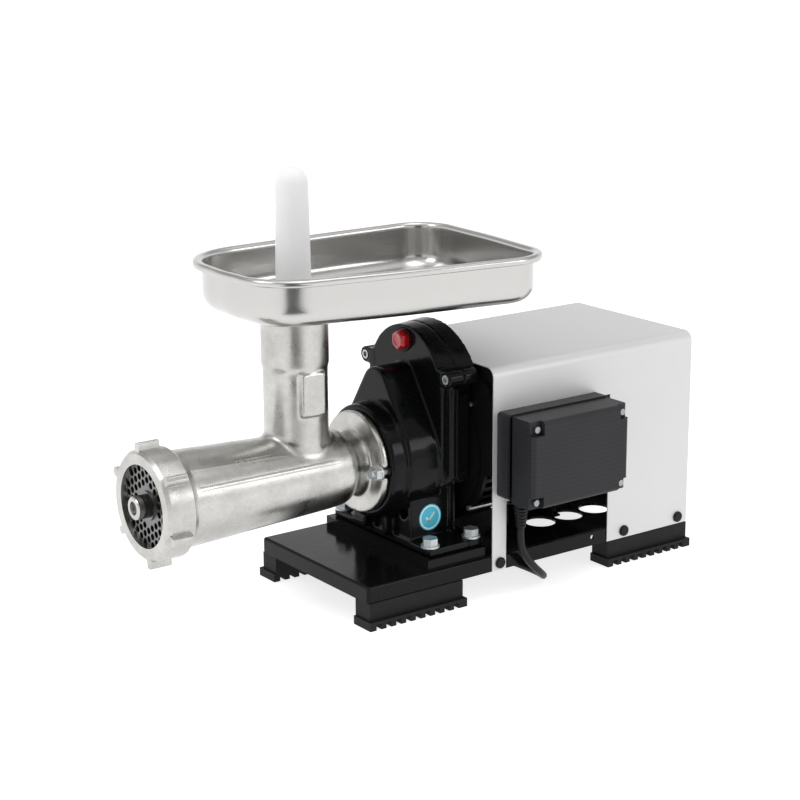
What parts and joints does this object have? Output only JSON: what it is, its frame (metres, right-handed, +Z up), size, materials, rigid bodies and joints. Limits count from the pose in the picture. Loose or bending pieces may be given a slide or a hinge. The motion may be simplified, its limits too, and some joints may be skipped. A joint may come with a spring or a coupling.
{
  "type": "electric meat grinder",
  "caption": "Bench meat grinder: cast worm barrel with ring nut and feed tray, clamped to a gear case and a motor under a folded stainless cover on a rubber-footed base.",
  "frame": {"origin": "on the surface that the feet stand on, under the auger's axis, at the middle of the base plate's length", "axes": "+X along the auger from the outlet towards the motor, +Z up, +Y towards the machine's right side"},
  "size_m": [0.5713, 0.3455, 0.4038],
  "materials": {
    "cast_tin": "satin, tin plated cast surface",
    "tray_steel": "polished stainless sheet",
    "cover_steel": "bright satin stainless sheet",
    "gloss_black": "gloss black enamel",
    "black_shield": "satin black paint",
    "box_plastic": "charcoal moulded plastic",
    "black_plastic": "black plastic",
    "foot_rubber": "dark grey rubber",
    "zinc_steel": "bright zinc plated",
    "black_screw": "black oxide",
    "red_plastic": "glossy red",
    "sticker_cyan": "cyan label film",
    "gear_steel": "machined, oiled",
    "knife_steel": "ground tool steel",
    "bearing_steel": "polished bearing steel",
    "core_steel": "electrical steel laminations",
    "copper_winding": "varnished copper wire",
    "seal_rubber": "nitrile rubber",
    "white_plastic": "white polyethylene",
    "cord_black": "black flexible cord",
    "capacitor_film": "off-white plastic can"
  },
  "bodies": {
    "frame": {"base_plate": "gloss_black", "foot_front_left": "foot_rubber", "foot_front_right": "foot_rubber", "foot_rear_left": "foot_rubber", "foot_rear_right": "foot_rubber", "riser_plate": "gloss_black", "gearbox_bolts": "zinc_steel", "gearbox_bolt_nuts": "zinc_steel", "gearbox_front_half": "gloss_black", "gearbox_rear_half": "gloss_black", "gearbox_screws": "zinc_steel", "oil_filler_plug": "red_plastic", "filler_plug_seal": "seal_rubber", "check_sticker": "sticker_cyan", "output_bearings": "bearing_steel", "layshaft_bearings": "bearing_steel", "rotor_bearings": "bearing_steel", "output_seal": "seal_rubber", "stator_core": "core_steel", "stator_windings": "copper_winding", "tie_rods": "zinc_steel", "motor_bracket": "black_shield", "motor_front_shield": "black_shield", "motor_rear_shield": "black_shield", "fan_cowl": "black_shield", "motor_cover": "cover_steel", "cover_screws": "black_screw", "terminal_box_base": "box_plastic", "terminal_box_seal": "seal_rubber", "terminal_box_lid": "box_plastic", "terminal_box_screws": "zinc_steel", "run_capacitor": "capacitor_film", "terminal_strip": "white_plastic", "switch_body": "black_plastic", "grinder_body": "cast_tin", "clamp_studs": "zinc_steel", "clamp_nuts": "zinc_steel", "plate_key": "zinc_steel", "perforated_plate": "knife_steel", "cable_gland": "black_plastic", "power_cord": "cord_black", "cord_coil": "cord_black", "cord_tail": "cord_black", "cord_tie": "black_plastic", "power_plug": "black_plastic"},
    "rotor": {"rotor_shaft": "gear_steel", "rotor_core": "core_steel", "cooling_fan": "black_plastic"},
    "layshaft_set": {"layshaft": "gear_steel", "layshaft_gear": "gear_steel"},
    "output_set": {"output_shaft": "gear_steel", "output_gear": "gear_steel", "auger": "cast_tin", "knife": "knife_steel"},
    "ring": {"ring_nut": "cast_tin"},
    "tray": {"feed_tray": "tray_steel"},
    "pestle": {"pusher": "white_plastic"},
    "rocker": {"switch_rocker": "black_plastic"}
  },
  "joints": [
    {"name": "rotor_spin", "type": "hinge", "parent": "frame", "child": "rotor", "pos_m": [0, 0, 0.1265], "axis": [1, 0, 0], "continuous": true},
    {"name": "layshaft_spin", "type": "hinge", "parent": "frame", "child": "layshaft_set", "pos_m": [-0.08, 0, 0.179], "axis": [1, 0, 0], "continuous": true},
    {"name": "output_spin", "type": "hinge", "parent": "frame", "child": "output_set", "pos_m": [-0.2, 0, 0.1265], "axis": [1, 0, 0], "continuous": true},
    {"name": "ring_turn", "type": "hinge", "parent": "frame", "child": "ring", "pos_m": [-0.3535, 0, 0.1265], "axis": [1, 0, 0], "continuous": true},
    {"name": "tray_swivel", "type": "hinge", "parent": "frame", "child": "tray", "pos_m": [-0.2085, 0, 0.281], "axis": [0, 0, 1], "continuous": true},
    {"name": "pusher_lift", "type": "slide", "parent": "frame", "child": "pestle", "axis": [0, 0, 1], "range_m": [0, 0.25]},
    {"name": "rocker_tilt", "type": "hinge", "parent": "frame", "child": "rocker", "pos_m": [0.1849, 0.054, 0.166], "axis": [0, 1, 0], "range_deg": [0, 10]}
  ],
  "couplings": [
    {"joint": "layshaft_spin", "follows": "rotor_spin", "ratio": -0.16667},
    {"joint": "output_spin", "follows": "rotor_spin", "ratio": 0.041667}
  ]
}
